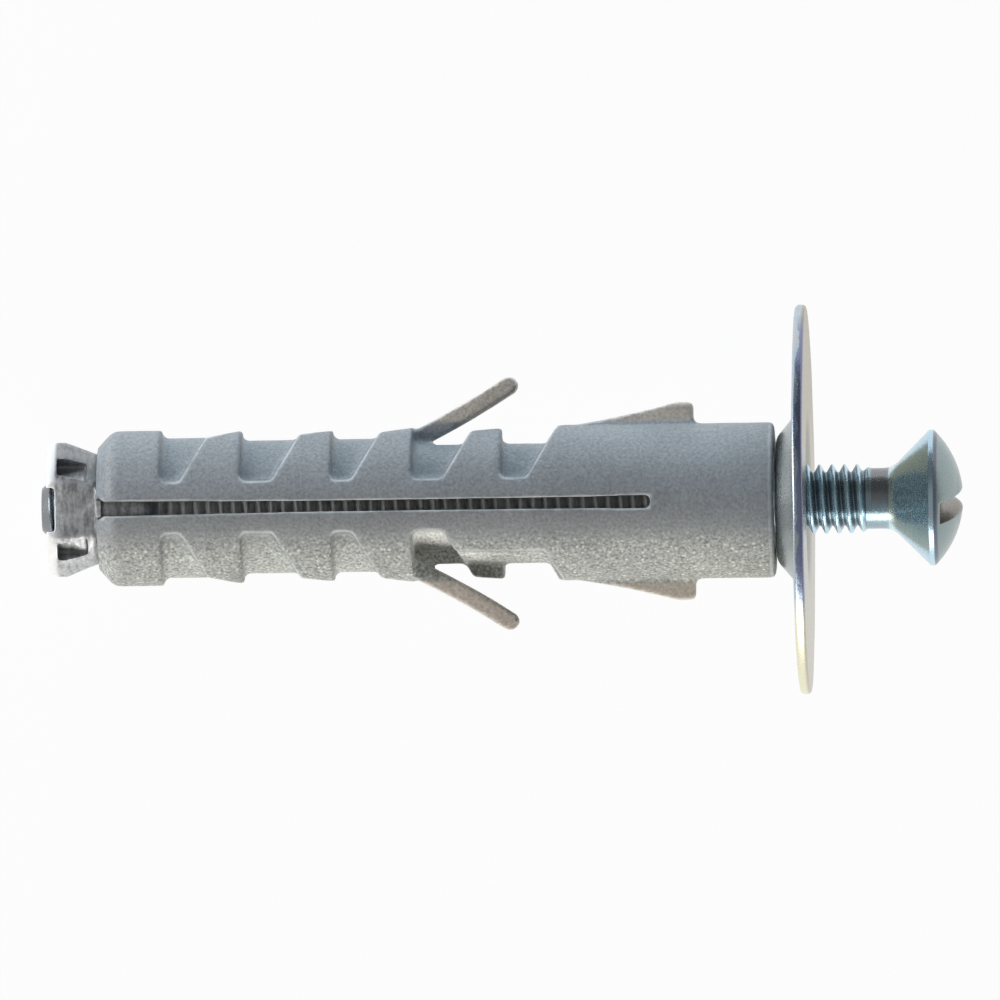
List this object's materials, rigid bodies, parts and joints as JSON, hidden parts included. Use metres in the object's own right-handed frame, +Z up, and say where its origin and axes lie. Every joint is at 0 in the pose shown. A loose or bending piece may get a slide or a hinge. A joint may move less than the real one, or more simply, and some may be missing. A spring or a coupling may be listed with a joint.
{
  "type": "wall plug with screw",
  "caption": "Slit nylon expansion sleeve with ratchet teeth, barbs and fins, a cone nut in its end, a slotted raised countersunk screw through it and a loose dished washer.",
  "frame": {"origin": "middle of the footprint, on the surface that the plug lies on", "axes": "+X along the plug from the nut towards the screw's head, +Z up. The plug lies on the washer's rim and the sleeve's far end, so its own axis rises by 8.82 degrees towards the head."},
  "size_m": [0.0512, 0.0218, 0.0216],
  "materials": {
    "sleeve": "light grey nylon, coarse moulded skin",
    "nut": "zinc, as cast and plated",
    "screw": "blue-passivated zinc plating",
    "washer": "blue-passivated zinc plating"
  },
  "bodies": {
    "sleeve": {"expansion_sleeve": "sleeve"},
    "nut": {"cone_nut": "nut"},
    "screw": {"machine_screw": "screw"},
    "washer": {"cup_washer": "washer"}
  },
  "joints": [
    {"name": "screw_turn", "type": "hinge", "parent": "sleeve", "child": "screw", "pos_m": [0.01519, 0, 0.00997], "axis": [0.9882, 0, 0.1534], "range_deg": [0, 1800]},
    {"name": "nut_travel", "type": "slide", "parent": "sleeve", "child": "nut", "axis": [-0.9882, 0, -0.1534], "range_m": [0, 0.0035]},
    {"name": "washer_slide", "type": "slide", "parent": "sleeve", "child": "washer", "axis": [0.9882, 0, 0.1534], "range_m": [0, 0.0061]}
  ],
  "couplings": [
    {"joint": "screw_turn", "follows": "nut_travel", "rad_per_m": 8976}
  ]
}
